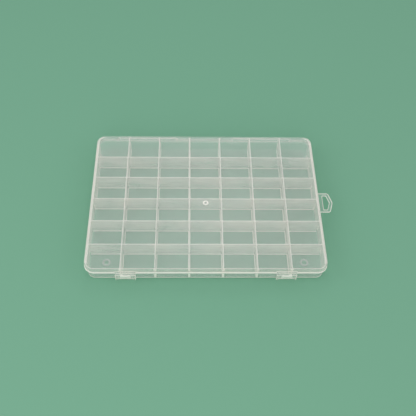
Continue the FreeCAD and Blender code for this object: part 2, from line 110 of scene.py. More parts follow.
bpy.ops.object.select_all(action="DESELECT")
bpy.ops.mesh.primitive_plane_add(size=FLOOR_SIZE, location=(0, 0, -FLOOR_DROP))
floor = bpy.context.object
floor.name = "floor"
floor_paint = bpy.data.materials.new("pale_floor")
floor_paint.use_nodes = True
floor_shader = floor_paint.node_tree.nodes["Principled BSDF"]
floor_shader.inputs["Base Color"].default_value = FLOOR_COLOUR
floor_shader.inputs["Roughness"].default_value = FLOOR_ROUGHNESS
floor_shader.inputs["Specular IOR Level"].default_value = FLOOR_SHINE
floor.data.materials.append(floor_paint)
print("floor:", FLOOR_SIZE, "m wide, colour", FLOOR_COLOUR[:3])

# %% [markdown]
# ## The light
# Clear plastic wants soft light from all round, because each wall shows what it faces. Most of the light is an
# even white world, at a level at which a colour renders about as it is written. Four round panels, to the left, to
# the right, in front and behind, add a little to the walls that face them, so that the grid doesn't look flat.

# %% Light
WORLD_COLOUR = (1, 1, 1, 1)
WORLD_STRENGTH = 0.65

world = bpy.data.worlds.new("soft_room")
world.use_nodes = True
world.node_tree.nodes["Background"].inputs["Color"].default_value = WORLD_COLOUR
world.node_tree.nodes["Background"].inputs["Strength"].default_value = WORLD_STRENGTH
scene.world = world


def soft_panel(name, place, width, watts):
    """A round panel of light that faces the middle of the box."""
    bpy.ops.object.light_add(type="AREA", location=place)
    panel = bpy.context.object
    panel.name = name
    panel.rotation_euler = Vector(place).to_track_quat("Z", "Y").to_euler()
    panel.data.shape = "DISK"
    panel.data.size = width
    panel.data.energy = watts
    print("light:", name, watts, "W")


soft_panel("left_panel", place=(-0.95, -0.20, 0.75), width=0.8, watts=2.2)
soft_panel("right_panel", place=(0.95, -0.20, 0.75), width=0.8, watts=1.3)
soft_panel("front_panel", place=(-0.15, -0.95, 0.55), width=0.9, watts=2.6)
soft_panel("back_panel", place=(0.03, 0.66, 0.97), width=0.5, watts=1.0)

# %% [markdown]
# ## Opening a piece and choosing parts of it
# Each piece starts as a primitive at its place and is shaped in edit mode. An operator acts on all that is
# selected, so `begin` deselects everything before it adds a primitive, and `reopen` does so for a piece that is
# there already. With no window to click in, `pick` chooses faces, edges or points by a test on their place or normal.

# %% Helpers, opening and choosing
NEAR = 0.01 * MM


def only(piece):
    """Makes a piece the one that is selected and active."""
    bpy.ops.object.select_all(action="DESELECT")
    piece.select_set(True)
    bpy.context.view_layer.objects.active = piece


def settle():
    """Puts the active piece's place, turn and scale into its mesh."""
    bpy.ops.object.transform_apply(location=True, rotation=True, scale=True)


def close():
    """Leaves edit mode, where it is on."""
    if bpy.context.mode != "OBJECT":
        bpy.ops.object.mode_set(mode="OBJECT")


def reopen(piece):
    """Opens one piece for editing."""
    only(piece)
    bpy.ops.object.mode_set(mode="EDIT")


def begin(name, add, place, spread=(1, 1, 1), turn=(0, 0, 0), **shape):
    """Adds a primitive with nothing else selected, puts its place into its mesh and opens it for editing."""
    close()
    bpy.ops.object.select_all(action="DESELECT")
    add(location=place, rotation=turn, **shape)
    piece = bpy.context.object
    piece.name = piece.data.name = name
    piece.scale = spread
    settle()
    reopen(piece)
    return piece


def pick(kind, test):
    """Selects only the vertices, edges or faces that pass a test, and returns how many there are."""
    bpy.ops.mesh.select_mode(type=kind)
    bpy.ops.mesh.select_all(action="DESELECT")
    shape = bmesh.from_edit_mesh(bpy.context.edit_object.data)
    shape.normal_update()
    every = {"VERT": shape.verts, "EDGE": shape.edges, "FACE": shape.faces}[kind]
    chosen = [part for part in every if test(part)]
    for part in chosen:
        part.select_set(True)
    shape.select_flush_mode()
    bmesh.update_edit_mesh(bpy.context.edit_object.data)
    return len(chosen)


print("parts within", NEAR / MM, "mm of a height count as lying at it")

# %% [markdown]
# Most tests ask for flat faces at a height, or for the sharp edges round them. A face's normal says which way it
# looks: its z is near 1 on a top, near -1 on an underside and near 0 on a wall. Two limits are enough to tell walls
# from roundings.

# %% Helpers, tests
FLAT = 0.9
UPRIGHT = 0.5
STEEP = 0.2
SHARP = math.radians(40)


def centre(f):
    """The middle of a face."""
    return f.calc_center_median()


def level_face(z, way):
    """A test for flat faces at a height that point up (1) or down (-1)."""
    return lambda f: f.normal.z * way > FLAT and abs(centre(f).z - z) < NEAR


def level_edge(z):
    """A test for sharp edges that lie flat at a height."""
    return lambda e: all(abs(v.co.z - z) < NEAR for v in e.verts) and e.calc_face_angle(math.pi) > SHARP


print("edges count as sharp from", round(math.degrees(SHARP)), "degrees")

# %% [markdown]
# The next helpers are the operators that one would use by hand, with the numbers filled in: move, extrude, inset,
# bevel, bisect and the assigning of a finish. Every piece has its finishes in the same order of slots, so a slot's
# number means the same kind of surface on all of them.

# %% Helpers, shaping
PANEL, EDGE, MILKY, SIDE, FLOOR, RIM = range(6)
KEEP_SLOT = -1
X_WAY, Y_WAY, Z_WAY = (1, 0, 0), (0, 1, 0), (0, 0, 1)


def move(x=0.0, y=0.0, z=0.0):
    bpy.ops.transform.translate(value=(x, y, z))


def pull(x=0.0, y=0.0, z=0.0):
    """Extrudes what is selected."""
    bpy.ops.mesh.extrude_region_move(TRANSFORM_OT_translate={"value": (x, y, z)})


def step(test, inward, rise):
    """Insets the faces that pass a test and pulls what is inside up or down."""
    pick("FACE", test)
    bpy.ops.mesh.inset(thickness=inward)
    pull(z=rise)


def cut(test, place, way):
    """Cuts the faces that pass a test with a plane, and leaves them joined."""
    pick("FACE", test)
    bpy.ops.mesh.bisect(plane_co=place, plane_no=way)


def round_off(test, radius, steps, slot=KEEP_SLOT):
    """Bevels the edges that pass a test, and returns how many there are."""
    found = pick("EDGE", test)
    bpy.ops.mesh.bevel(offset=radius, segments=steps, affect="EDGES", material=slot)
    return found


def paint(slot, test):
    """Gives the faces that pass a test one of the piece's slots, and returns how many there are."""
    found = pick("FACE", test)
    bpy.context.edit_object.active_material_index = slot
    bpy.ops.object.material_slot_assign()
    return found


def face_out():
    """Turns all faces outwards."""
    bpy.ops.mesh.select_all(action="SELECT")
    bpy.ops.mesh.normals_make_consistent(inside=False)


print("slots:", dict(panel=PANEL, edge=EDGE, milky=MILKY, side=SIDE, floor=FLOOR, rim=RIM))

# %% [markdown]
# A piece is finished with modifiers that are applied at once: a bevel that softens its sharp edges, and booleans
# that cut a tool's shape out of it or join one on. Then double points are merged, the piece is shaded smooth, and it
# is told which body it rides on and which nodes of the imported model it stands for.

# %% Helpers, finishing
MERGE = 0.004 * MM
SOFTEN_FROM = math.radians(50)
SMOOTH_UNDER = math.radians(32)


def modify(piece, kind, **settings):
    """Adds a modifier and applies it."""
    modifier = piece.modifiers.new(kind.lower(), kind)
    for setting, value in settings.items():
        setattr(modifier, setting, value)
    only(piece)
    bpy.ops.object.modifier_apply(modifier=modifier.name)


def soften(piece, width, steps=2):
    """Rounds every sharp edge of a piece a little, and gives the rounding the edge's finish."""
    modify(
        piece, "BEVEL", limit_method="ANGLE", angle_limit=SOFTEN_FROM, width=width, segments=steps,
        use_clamp_overlap=False, material=EDGE,
    )


def combine(piece, tool, operation="DIFFERENCE"):
    """Cuts one mesh out of another, or joins it on, and removes the tool."""
    modify(piece, "BOOLEAN", object=tool, operation=operation, solver="EXACT")
    bpy.data.objects.remove(tool)


def clean(piece):
    """Merges points that lie on top of each other, drops faces without area, and counts points left open."""
    reopen(piece)
    bpy.ops.mesh.select_mode(type="VERT")
    bpy.ops.mesh.select_all(action="SELECT")
    bpy.ops.mesh.remove_doubles(threshold=MERGE)
    bpy.ops.mesh.dissolve_degenerate(threshold=MERGE)
    bpy.ops.mesh.select_all(action="DESELECT")
    bpy.ops.mesh.select_non_manifold()
    close()
    print(piece.name, "open points:", sum(v.select for v in piece.data.vertices))


def finish(piece, body, slot, *nodes):
    """Smooths a piece, and lets it stand for CAD nodes and ride on a body."""
    only(piece)
    bpy.ops.object.shade_smooth_by_angle(angle=SMOOTH_UNDER)
    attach(piece, body)
    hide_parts(*nodes)
    print(piece.name, "has", len(piece.data.polygons), "faces and rides on", body)


print("edges are softened from", round(math.degrees(SOFTEN_FROM)), "degrees")

# %% [markdown]
# ## Milky plastic
# Natural polypropylene scatters a little light inside. Looked through straight on, a thin wall adds a faint white
# veil; looked through at a slant, the path in the plastic is longer and the veil is thicker, until a wall seen
# edge-on is white. Real scattering in a volume is slow and noisy, so each face gets the veil of half its wall
# instead, from a small tree of nodes. `Wiring` makes such a tree shorter to write: a value that is given to a node
# is either set on its socket or, where it is another node's output, linked to it.

# %% Wiring for finishes
class Wiring:
    """A new finish's node tree, with short ways to add nodes and join them."""

    def __init__(self, name):
        self.finish = bpy.data.materials.new(name)
        self.finish.use_nodes = True
        self.tree = self.finish.node_tree
        self.tree.nodes.clear()

    def feed(self, socket, value):
        if isinstance(value, bpy.types.NodeSocket):
            self.tree.links.new(value, socket)
        else:
            socket.default_value = value

    def node(self, kind, **inputs):
        made = self.tree.nodes.new("ShaderNode" + kind)
        for name, value in inputs.items():
            self.feed(made.inputs[name.replace("_", " ")], value)
        return made

    def math(self, operation, *values):
        made = self.node("Math")
        made.operation = operation
        for socket, value in zip(made.inputs, values):
            self.feed(socket, value)
        return made.outputs[0]

    def mix(self, share, first, second):
        made = self.node("MixShader")
        for socket, value in zip(made.inputs, (share, first.outputs[0], second.outputs[0])):
            self.feed(socket, value)
        return made


print("wiring: ready for node trees")

# %% [markdown]
# The plastic isn't even. Faint streaks lie along the box where the melt flowed, and wide clouds where it cooled
# slowly; both are noise on the piece's own coordinates, the streaks stretched. Near the corners of the floor there
# are ring marks where the box is pushed out of its mould: a little milkier on the ring and clearer inside it. A
# falling parabola gives both a soft edge.

# %% Unevenness and ring marks
FLOW_SCALE = (14, 330, 330)
FLOW_DETAIL, FLOW_ROUGHNESS = 3.0, 0.6
CLOUD_SCALE, CLOUD_DETAIL = 28.0, 2.0
RING_PLACE = (117.5 * MM, 77.0 * MM)
RING_RADIUS = 3.85 * MM
RING_HALO = 1.6 * MM


def flow_and_clouds(w, place):
    """The streaks and the clouds, as numbers around one half."""
    stretched = w.node("Mapping", Vector=place, Scale=FLOW_SCALE).outputs["Vector"]
    flow = w.node("TexNoise", Vector=stretched, Scale=1.0, Detail=FLOW_DETAIL, Roughness=FLOW_ROUGHNESS)
    clouds = w.node("TexNoise", Vector=place, Scale=CLOUD_SCALE, Detail=CLOUD_DETAIL)
    return flow.outputs["Fac"], clouds.outputs["Fac"]


def hill(w, distance, width):
    """One at no distance, falling to nothing at a width."""
    share = w.math("DIVIDE", distance, width)
    fall = w.math("MULTIPLY_ADD", w.math("MULTIPLY", share, share), -1.0, 1.0)
    return w.math("MAXIMUM", fall, 0.0)


def with_rings(w, place, depth, rings):
    """The veil's depth with the four ring marks in it."""
    parts = w.node("SeparateXYZ", Vector=place).outputs
    x_off, y_off = (
        w.math("SUBTRACT", w.math("ABSOLUTE", parts[axis]), middle) for axis, middle in zip("XY", RING_PLACE)
    )
    away = w.math("SQRT", w.math("MULTIPLY_ADD", x_off, x_off, w.math("MULTIPLY", y_off, y_off)))
    on_ring = hill(w, w.math("SUBTRACT", away, RING_RADIUS), RING_HALO)
    in_ring = hill(w, away, RING_RADIUS - 0.5 * RING_HALO)
    cleared = w.math("MULTIPLY", depth, w.math("SUBTRACT", 1.0, in_ring))
    return w.math("MULTIPLY_ADD", on_ring, rings, cleared)


print("ring marks:", round(RING_RADIUS / MM, 2), "mm in radius, at", [round(c / MM, 1) for c in RING_PLACE])

# %% [markdown]
# A veil hides one minus e to the power of minus depth over the cosine of the viewing angle; Layer Weight gives that
# cosine. In a clear flat wall refraction bends the path upright, so there the cosine is kept above `slant`, or the
# lid would turn white in low views. Milk is mixed in by that share, its colour follows the clouds, and a thin gloss
# with a faint ripple lies on top. `rise` makes a divider milkier towards its top.

# %% Milky plastic
BOX_MIDDLE = 12 * MM
SHINE_ROUGHNESS, SHINE_SPREAD = 0.12, 0.2
MIRROR_LEAST, MIRROR_POWER = 0.03, 5.0
MILK_ROUGHNESS = 0.55
CLOUD_LOW, CLOUD_HIGH = 0.3, 0.7
CLOUD_SHADE = (0.95, 0.98, 0.99)
RIPPLE_SCALE, RIPPLE_STRENGTH, RIPPLE_HEIGHT = 160.0, 0.04, 0.4 * MM


def milky_plastic(name, veil, colour, streaks=0.25, rise=0.0, glint=0.35, rings=0.0, slant=0.03):
    w = Wiring(name)
    place = w.node("TexCoord").outputs["Object"]
    flow, clouds = flow_and_clouds(w, place)
    unevenness = w.math("ADD", flow, clouds)
    depth = w.math("MULTIPLY_ADD", unevenness, 2 * streaks * veil, veil * (1 - 2 * streaks))
    if rise:
        height = w.node("SeparateXYZ", Vector=place).outputs["Z"]
        depth = w.math("MULTIPLY", depth, w.math("MULTIPLY_ADD", height, rise, 1 - rise * BOX_MIDDLE))
    if rings:
        depth = with_rings(w, place, depth, rings)

    facing = w.node("LayerWeight", Blend=0.5).outputs["Facing"]
    cosine = w.math("MAXIMUM", w.math("SUBTRACT", 1.0, facing), slant)
    passed = w.math("EXPONENT", w.math("MULTIPLY", w.math("DIVIDE", depth, cosine), -1.0))

    tint = w.node("ValToRGB", Fac=clouds)
    shaded, full = tint.color_ramp.elements
    shaded.position, full.position = CLOUD_LOW, CLOUD_HIGH
    shaded.color = [*(c * shade for c, shade in zip(colour, CLOUD_SHADE)), 1]
    full.color = [*colour, 1]
    milk = w.node("BsdfPrincipled", Base_Color=tint.outputs["Color"], Roughness=MILK_ROUGHNESS)
    veiled = w.mix(w.math("SUBTRACT", 1.0, passed), w.node("BsdfTransparent"), milk)

    ripple = w.node("TexNoise", Vector=place, Scale=RIPPLE_SCALE, Detail=1.0).outputs["Fac"]
    bump = w.node("Bump", Height=ripple, Strength=RIPPLE_STRENGTH, Distance=RIPPLE_HEIGHT)
    shine = w.node(
        "BsdfGlossy", Color=(1, 1, 1, 1), Normal=bump.outputs["Normal"],
        Roughness=w.math("MULTIPLY_ADD", unevenness, SHINE_SPREAD, SHINE_ROUGHNESS),
    )
    mirrored = w.math("MULTIPLY_ADD", w.math("POWER", facing, MIRROR_POWER), glint, MIRROR_LEAST)
    w.node("OutputMaterial", Surface=w.mix(mirrored, veiled, shine).outputs[0])
    return w.finish


print("milky plastic: the gloss has a roughness of about", SHINE_ROUGHNESS + SHINE_SPREAD)

# %% [markdown]
# One recipe gives all the finishes, because the box is all one material: what differs is how much of it the light
# crosses, and on some faces how much painted brightness is added. The lid and the outer walls are thin and clear, the
# dividers are milky, and edges and roundings, which are looked through along their length, are milkier still; their
# nearly opaque warm white is also a painted glow, for the light that the plastic carries to its edges.

# %% Finishes
MILK = (0.90, 0.92, 0.90)
GLOW = (0.99, 0.94, 0.87)
FROST = (0.98, 0.99, 0.95)
CLEAR_SLANT = 0.3

lid_clear = milky_plastic("lid_clear", veil=0.068, colour=MILK, slant=CLEAR_SLANT)
# lid rim finish: milk plus painted brightness, for the bright outline along the lid's sides and the bead
lid_rim_milk_and_painted_light = milky_plastic("lid_rim_milk_and_painted_light", veil=0.5, colour=GLOW, streaks=0.15)
wall_clear = milky_plastic("wall_clear", veil=0.035, colour=MILK, slant=CLEAR_SLANT)
divider_milky = milky_plastic("divider_milky", veil=0.175, colour=GLOW, streaks=0.75, rise=30.0)
floor_clear = milky_plastic("floor_clear", veil=0.05, colour=FROST, rings=0.22, slant=CLEAR_SLANT)
foot_rim = milky_plastic("foot_rim", veil=0.55, colour=GLOW)
# side finish: milk plus painted brightness, for the tray's left and right walls and the lid's faint rounding and
# skirt
side_milk_and_painted_light = milky_plastic("side_milk_and_painted_light", veil=0.12, colour=GLOW)
# edge finish: milk plus a painted glow, nearly opaque white on edges, roundings and divider ends
edge_milk_painted_glow = milky_plastic("edge_milk_painted_glow", veil=1.2, colour=GLOW, streaks=0.1)
latch_clear = milky_plastic("latch_clear", veil=0.06, colour=GLOW)
# grip finish: a painted highlight on the waist of the latch's grip bar
grip_painted_highlight = milky_plastic("grip_painted_highlight", veil=0.55, colour=GLOW, streaks=0.15)
hinge_clear = milky_plastic("hinge_clear", veil=0.02, colour=MILK, glint=0.2)
hinge_edge = milky_plastic("hinge_edge", veil=0.2, colour=GLOW)


def dress(piece, *finishes):
    """Fills a piece's slots."""
    for material in finishes:
        piece.data.materials.append(material)


def coat(tool, finishes, slot):
    """Gives a tool a piece's slots and one of them all over, which the cut then takes."""
    dress(tool, *finishes)
    for face in tool.data.polygons:
        face.material_index = slot


print("finishes:", [m.name for m in bpy.data.materials])

# %% [markdown]
# ## The tray
# The tray is one moulding, so it is one mesh, grown from its flange. A plate with rounded corners is pulled up
# into a slab; its top is inset and pulled up to the rim, and its underside inset and pulled down to the foot, which
# is a little smaller, so that the walls lean as they must to leave the mould.

# %% Tray, outside
COLUMN_NODES = [f"column_divider_{index}" for index in range(1, 7)]
ROW_NODES = [f"row_divider_{index}" for index in range(1, 6)]
CORNER_RADIUS = 11 * MM
CORNER_STEPS = 10
FLANGE_FOOT = 14.2 * MM
FLANGE_TOP = 15.6 * MM
WALL_INSET = 1.4 * MM
WALL_LEAN = 0.25 * MM


def rounded_slab(name, low, high, radius, z_low, z_high):
    """A flat plate with rounded corners, pulled up into a slab that stays open for editing."""
    middle, size = (low + high) / 2, high - low
    piece = begin(
        name, bpy.ops.mesh.primitive_plane_add, (middle.x, middle.y, z_low), (size.x, size.y, 1), size=1
    )
    bpy.ops.mesh.bevel(offset=radius, segments=CORNER_STEPS, affect="VERTICES")
    bpy.ops.mesh.select_all(action="SELECT")
    pull(z=z_high - z_low)
    face_out()
    return piece


tray_low, tray_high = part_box("tray_shell")
tray = rounded_slab("tray_moulding", tray_low, tray_high, CORNER_RADIUS, FLANGE_FOOT, FLANGE_TOP)
dress(tray, wall_clear, edge_milk_painted_glow, divider_milky, side_milk_and_painted_light, floor_clear, foot_rim)
step(level_face(FLANGE_TOP, 1), WALL_INSET, tray_high.z - FLANGE_TOP)
step(level_face(FLANGE_FOOT, -1), WALL_INSET + WALL_LEAN, -FLANGE_FOOT)
lean = 1 - WALL_LEAN / tray_high.y
bpy.ops.transform.resize(value=(lean, lean, 1), center_override=(0, 0, 0))
print("tray outside:", len(bmesh.from_edit_mesh(tray.data).faces), "faces")

# %% [markdown]
# The grid could be made of eleven plates, but in a clear moulding every doubled face would show. So the cells are
# sunk instead: the top is cut along every divider's middle line, each of the forty-two faces is inset by half a
# divider, and a second inset with depth sinks them all to the floor at once, with the taper of the mould.

# %% Tray, cells
HALF_DIVIDER = 0.45 * MM
DIVIDER_TAPER = 0.15 * MM

column_boxes = [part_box(name) for name in COLUMN_NODES]
column_middles = [(low.x + high.x) / 2 for low, high in column_boxes]
row_middles = [(low.y + high.y) / 2 for low, high in map(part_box, ROW_NODES)]
floor_level, divider_top = (corner.z for corner in column_boxes[0])

grid_top = level_face(divider_top, 1)
step(level_face(tray_high.z, 1), HALF_DIVIDER, divider_top - tray_high.z)
for x in column_middles:
    cut(grid_top, (x, 0, 0), X_WAY)
for y in row_middles:
    cut(grid_top, (0, y, 0), Y_WAY)
cells = pick("FACE", grid_top)
bpy.ops.mesh.inset(thickness=HALF_DIVIDER, use_individual=True)
bpy.ops.mesh.inset(thickness=DIVIDER_TAPER, depth=floor_level - divider_top, use_individual=True)
print("tray:", cells, "cells, floor at", round(floor_level / MM, 2), "mm")

# %% [markdown]
# Light runs along a divider as in a light guide, so where a divider ends on an outer wall its end shows as a bright
# upright bar, which is painted on here as a highlight. Such a bar has no edge of its own on the smooth wall, so the
# outer walls are cut on both sides of each divider, and the strips between the cuts, wider than a divider, take the
# edge finish's painted glow.

# %% Tray, divider ends
HALF_BAR = 1.3 * MM
WALL_ZONE = 3.2 * MM
INNER_X = tray_high.x - WALL_ZONE
INNER_Y = tray_high.y - WALL_ZONE


def on_long_wall(f):
    """The outer faces of the front and the back wall."""
    y = centre(f).y
    return abs(y) > INNER_Y and f.normal.y * math.copysign(1, y) > FLAT


def on_short_wall(f):
    """The outer faces of the left and the right wall."""
    x = centre(f).x
    return abs(x) > INNER_X and f.normal.x * math.copysign(1, x) > FLAT


for x in column_middles:
    for side in (-HALF_BAR, HALF_BAR):
        cut(on_long_wall, (x + side, 0, 0), X_WAY)
for y in row_middles:
    for side in (-HALF_BAR, HALF_BAR):
        cut(on_short_wall, (0, y + side, 0), Y_WAY)
print("divider ends:", len(column_middles), "columns and", len(row_middles), "rows, two ends each")

# %% [markdown]
# Now every face gets its slot. The left and right walls get a milkier finish than the front and the back, which also
# paints in brightness that the light gives them; the cells' sides are the dividers, and the tops of the grid, the
# divider ends and the flange's rim get the edge finish's painted glow. Along the back the rim is left without that
# painted glow and stays clear. A mask could do all this too, but whole faces keep the borders sharp.

# %% Tray, slots
def by_corner(point):
    """Whether a point lies in one of the rounded corners."""
    return abs(point.x) > INNER_X - CORNER_RADIUS and abs(point.y) > INNER_Y - CORNER_RADIUS


def in_cell(f):
    """Sides of the cells, apart from those that are the tray's outer walls."""
    middle = centre(f)
    inside = middle.z < divider_top and abs(middle.x) < INNER_X and abs(middle.y) < INNER_Y
    return abs(f.normal.z) < UPRIGHT and inside and not by_corner(middle)


def at_straight_back(point):
    return point.y > INNER_Y and abs(point.x) < tray_high.x - CORNER_RADIUS


def painted_glow_faces(f):
    """Tops of the grid and the rim, the flange's rim and the divider ends, which take the edge finish's painted glow.
    """
    middle = centre(f)
    if f.normal.z > FLAT:
        return middle.z > divider_top - NEAR and not at_straight_back(middle)
    if abs(f.normal.z) < UPRIGHT and FLANGE_FOOT < middle.z < FLANGE_TOP:
        return True
    if on_long_wall(f):
        return min(abs(middle.x - x) for x in column_middles) < HALF_BAR
    return on_short_wall(f) and min(abs(middle.y - y) for y in row_middles) < HALF_BAR


# the left and right walls get the milkier side finish, which paints them brighter than the front and the back
sides = paint(SIDE, lambda f: abs(f.normal.x) > FLAT and abs(centre(f).x) > INNER_X)
cell_sides = paint(MILKY, in_cell)
floors = paint(FLOOR, lambda f: level_face(floor_level, 1)(f) or level_face(0, -1)(f))
bright = paint(EDGE, painted_glow_faces)
print("tray slots:", sides, "side,", cell_sides, "divider,", floors, "floor and", bright, "bright faces")

# %% [markdown]
# In a mould no inner corner is sharp. The seams where dividers meet the floor and each other are rounded with a
# bevel, which also gives them the edge's finish: its painted glow is the thin bright line at a divider's foot. The
# upright seams go back to the divider's finish. Those along the outer walls get no painted line, so they get the
# floor's finish, or the divider's milkier one at the left and right, which paints them brighter there.

# %% Tray, seams
SEAM_RADIUS = 0.8 * MM
SEAM_STEPS = 2
SEAM_ZONE = 1.5 * MM
SEAM_SHARE = 0.8
SLANTED = 0.2
BELOW_TOP = 1.0 * MM


def cell_seam(e):
    """Edges along the floor of a cell and up its corners."""
    if e.calc_face_angle(0) < SHARP:
        return False
    low, high = sorted(v.co.z for v in e.verts)
    standing = high - low > SEAM_SHARE * (divider_top - floor_level) and high < divider_top + NEAR
    return standing or (abs(low - floor_level) < NEAR and abs(high - floor_level) < NEAR)


def upright_seam(f):
    slanted = abs(f.normal.x) > SLANTED and abs(f.normal.y) > SLANTED
    return f.material_index == EDGE and slanted and floor_level + SEAM_RADIUS < centre(f).z < divider_top - BELOW_TOP


def outer_seam(f):
    middle = centre(f)
    by_wall = abs(middle.x) > INNER_X - SEAM_ZONE or abs(middle.y) > INNER_Y - SEAM_ZONE
    low_down = NEAR < middle.z < floor_level + SEAM_RADIUS
    return f.material_index == EDGE and low_down and (by_wall or by_corner(middle))


def side_seam(f):
    middle = centre(f)
    low_down = NEAR < middle.z - floor_level < SEAM_RADIUS
    return f.material_index == FLOOR and low_down and abs(middle.x) > INNER_X - SEAM_ZONE


seams = round_off(cell_seam, SEAM_RADIUS, SEAM_STEPS, EDGE)
paint(MILKY, upright_seam)
paint(FLOOR, outer_seam)
# the left and right seams take the milkier divider finish, which paints them brighter
paint(MILKY, side_seam)
print("tray seams:", seams, "edges rounded")

# %% [markdown]
# The foot has a larger radius, and its rounding takes the rim's milky finish. Along the front a strip just above it
# is cut off and given the edge's finish, a painted highlight line for the light that the wall carries down to its
# foot. At the back the rounding takes the floor's clear finish, so no line is painted there. Last, all the sharp
# edges that are left are softened.

# %% Tray, foot
FOOT_RADIUS = 1.6 * MM
FOOT_STEPS = 4
FOOT_LINE = 2.6 * MM
TRAY_SOFT = 0.18 * MM


def lower_wall(f):
    """The outer faces of the walls below the flange."""
    middle = centre(f)
    outside = f.normal.x * middle.x + f.normal.y * middle.y > 0
    return abs(f.normal.z) < STEEP and middle.z < FLANGE_FOOT and outside and not in_cell(f)


def front_painted_line(f):
    return lower_wall(f) and FOOT_RADIUS < centre(f).z < FOOT_LINE and f.normal.y < 0


round_off(level_edge(0), FOOT_RADIUS, FOOT_STEPS, RIM)
cut(lambda f: lower_wall(f) and min(v.co.z for v in f.verts) < FOOT_RADIUS + NEAR, (0, 0, FOOT_LINE), Z_WAY)
# the strip just above the front foot is a painted highlight line
painted_line_faces = paint(EDGE, front_painted_line)
paint(FLOOR, lambda f: f.material_index == RIM and f.normal.y > 0)
face_out()
close()
soften(tray, TRAY_SOFT)
# along the straight back the rim's painted glow is taken off again, so the rim stays clear there
for face in tray.data.polygons:
    if face.center.z > divider_top + NEAR and at_straight_back(face.center):
        face.material_index = PANEL
print("tray:", painted_line_faces, "faces in the foot's line,", len(tray.data.polygons), "faces in all")

# %% [markdown]
# The four ring marks are also shallow grooves in the underside. A flattened torus makes a smooth groove when it is
# cut out, and a boolean keeps the tool's slot on the new faces. With that the tray is complete, and it stands for the
# shell and all eleven dividers.

# %% Tray, ring marks
RING_TUBE = 0.95 * MM
RING_DEPTH = 0.3 * MM
RING_STEPS, TUBE_STEPS = 40, 12


def ring_tool(name, place, radius, tube, finishes, slot):
    """A flat ring that is cut out as a groove."""
    tool = begin(
        name, bpy.ops.mesh.primitive_torus_add, place, (1, 1, RING_DEPTH / tube),
        major_radius=radius, minor_radius=tube, major_segments=RING_STEPS, minor_segments=TUBE_STEPS,
    )
    close()
    coat(tool, finishes, slot)
    return tool


for side_x in (-1, 1):
    for side_y in (-1, 1):
        ring_place = (side_x * RING_PLACE[0], side_y * RING_PLACE[1], 0)
        combine(tray, ring_tool("ring_tool", ring_place, RING_RADIUS, RING_TUBE, tray.data.materials, FLOOR))
clean(tray)
finish(tray, "tray", "tray_plastic", "tray_shell", *COLUMN_NODES, *ROW_NODES)

# %% [markdown]
# ## The hanging loop
# A flat loop shaped like a house gable stands out from the flange on the right. A plane becomes the gable by
# moving the middle of its outer edge, an inset and a deleted face leave the hole, the near edge is pulled to the
# wall, and the flat ring is pulled up to its thickness.

# %% Hanging loop, flat ring
LOOP_ROOT = 139.6 * MM
LOOP_BASE = 142.4 * MM
LOOP_SHOULDER = 154.5 * MM
LOOP_TIP = 158.8 * MM
LOOP_HALF = 14.4 * MM
LOOP_BAR = 4.2 * MM
LOOP_THICK = 1.7 * MM
LOOP_LIFT = 0.05 * MM

loop_low, loop_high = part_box("hang_tab")
loop = begin(
    "hang_loop", bpy.ops.mesh.primitive_plane_add,
    ((LOOP_BASE + LOOP_SHOULDER) / 2, 0, loop_low.z + LOOP_LIFT),
    (LOOP_SHOULDER - LOOP_BASE, 2 * LOOP_HALF, 1), size=1,
)
dress(loop, wall_clear, edge_milk_painted_glow)
pick("EDGE", lambda e: all(v.co.x > LOOP_SHOULDER - NEAR for v in e.verts))
bpy.ops.mesh.subdivide(number_cuts=1)
pick("VERT", lambda v: v.co.x > LOOP_SHOULDER - NEAR and abs(v.co.y) < NEAR)
move(x=LOOP_TIP - LOOP_SHOULDER)
pick("FACE", lambda f: True)
bpy.ops.mesh.inset(thickness=LOOP_BAR)
bpy.ops.mesh.delete(type="FACE")
pick("EDGE", lambda e: all(v.co.x < LOOP_BASE + NEAR for v in e.verts))
pull(x=LOOP_ROOT - LOOP_BASE)
bpy.ops.mesh.select_all(action="SELECT")
pull(z=LOOP_THICK)
face_out()
print("loop:", round((loop_high.x - loop_low.x) / MM, 1), "mm long in the frame")

# %% [markdown]
# Its corners are rounded in plan, with a larger radius outside than in the hole, and then a wide bevel makes the bar
# almost round. Such a bar catches light along its whole length, which the bevel's edge finish paints in as a bright
# line.

# %% Hanging loop, rounding
LOOP_ROUND, LOOP_ROUND_STEPS = 2.5 * MM, 5
HOLE_ROUND, HOLE_ROUND_STEPS = 1.2 * MM, 4
LOOP_SOFT, LOOP_SOFT_STEPS = 0.75 * MM, 4
CORNER_FROM = math.radians(20)
STANDING_SHARE = 0.9


def upright_corner(in_hole):
    """A test for the standing edges at the loop's corners, outside or in the hole."""
    def test(e):
        a, b = (v.co for v in e.verts)
        standing = abs(a.z - b.z) > STANDING_SHARE * LOOP_THICK and e.calc_face_angle(0) > CORNER_FROM
        by_hole = abs(a.y) < LOOP_HALF - 0.5 * LOOP_BAR and a.x < LOOP_TIP - 0.5 * LOOP_BAR
        return standing and a.x > LOOP_BASE + NEAR and by_hole == in_hole
    return test


outer = round_off(upright_corner(False), LOOP_ROUND, LOOP_ROUND_STEPS)
inner = round_off(upright_corner(True), HOLE_ROUND, HOLE_ROUND_STEPS)
close()
soften(loop, LOOP_SOFT, LOOP_SOFT_STEPS)
print("loop:", outer, "outer corners,", inner, "corners in the hole")
finish(loop, "tray", "tray_plastic", "hang_tab")

# %% [markdown]
# ## The lid
# The lid is a shallow cap. It grows from the bead along its lower edge in the same way as the tray: a rounded
# slab, an inset and a pull up to the top, and from below an inset and a pull that hollow it out. Its top edge has
# a larger radius, which, with the painted brightness given to it below, shows as the bright outline of the closed
# box.

# %% Lid, cap
BEAD_PROUD = 0.7 * MM
BEAD_HEIGHT = 1.8 * MM
LID_SKIRT = 1.0 * MM
LID_PANEL = 1.4 * MM
LID_RADIUS, LID_STEPS = 2.0 * MM, 5
INNER_RADIUS, INNER_STEPS = 0.8 * MM, 2
